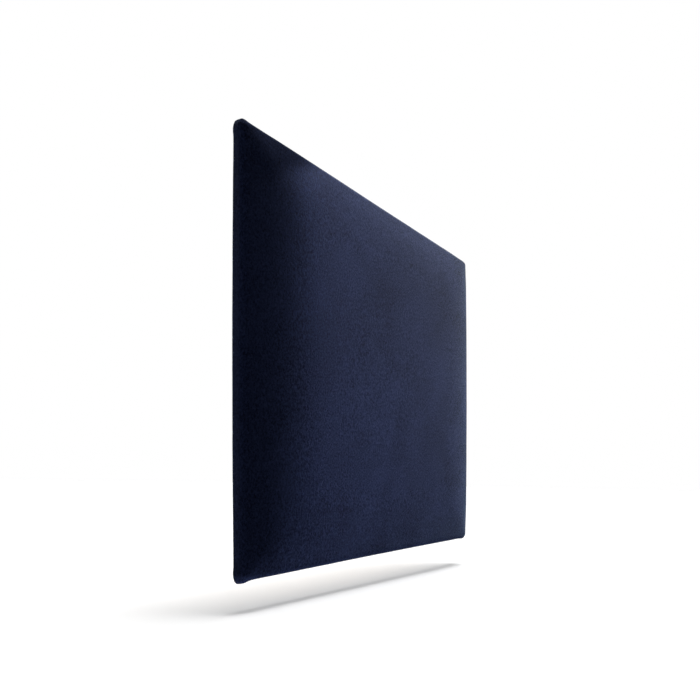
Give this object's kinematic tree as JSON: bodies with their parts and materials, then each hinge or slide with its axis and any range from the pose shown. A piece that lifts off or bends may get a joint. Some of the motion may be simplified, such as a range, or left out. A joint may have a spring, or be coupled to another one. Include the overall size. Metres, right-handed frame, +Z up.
{
  "type": "wall pad",
  "caption": "Square wall pad: foam on a plywood board under navy velvet stapled to its back, hung on two keyhole plates.",
  "frame": {"origin": "middle of the pad's back, on the plane of the wall that it hangs on", "axes": "+Z up, +Y into the wall, so the velvet front faces -Y, and +X to the right seen from in front"},
  "size_m": [0.6002, 0.0354, 0.6002],
  "materials": {
    "velvet": "navy cut-pile velvet with a soft sheen",
    "wadding": "white polyester wadding",
    "foam": "open-cell polyurethane foam",
    "plywood": "sanded birch plywood, uncoated",
    "zinc_plate": "zinc-plated pressed steel",
    "staple_wire": "galvanised staple wire"
  },
  "bodies": {
    "root": {"backing_board": "plywood", "foam_pad": "foam", "wadding_layer": "wadding", "velvet_cover": "velvet", "hanger_plate_left": "zinc_plate", "hanger_plate_right": "zinc_plate", "hanger_screw_left_upper": "zinc_plate", "hanger_screw_left_lower": "zinc_plate", "hanger_screw_right_upper": "zinc_plate", "hanger_screw_right_lower": "zinc_plate", "staple_top_1": "staple_wire", "staple_top_2": "staple_wire", "staple_top_3": "staple_wire", "staple_top_4": "staple_wire", "staple_top_5": "staple_wire", "staple_top_6": "staple_wire", "staple_top_7": "staple_wire", "staple_top_8": "staple_wire", "staple_bottom_1": "staple_wire", "staple_bottom_2": "staple_wire", "staple_bottom_3": "staple_wire", "staple_bottom_4": "staple_wire", "staple_bottom_5": "staple_wire", "staple_bottom_6": "staple_wire", "staple_bottom_7": "staple_wire", "staple_bottom_8": "staple_wire", "staple_left_1": "staple_wire", "staple_left_2": "staple_wire", "staple_left_3": "staple_wire", "staple_left_4": "staple_wire", "staple_left_5": "staple_wire", "staple_left_6": "staple_wire", "staple_left_7": "staple_wire", "staple_left_8": "staple_wire", "staple_right_1": "staple_wire", "staple_right_2": "staple_wire", "staple_right_3": "staple_wire", "staple_right_4": "staple_wire", "staple_right_5": "staple_wire", "staple_right_6": "staple_wire", "staple_right_7": "staple_wire", "staple_right_8": "staple_wire", "staple_corner_upper_left": "staple_wire", "staple_corner_upper_right": "staple_wire", "staple_corner_lower_left": "staple_wire", "staple_corner_lower_right": "staple_wire"}
  },
  "joints": []
}
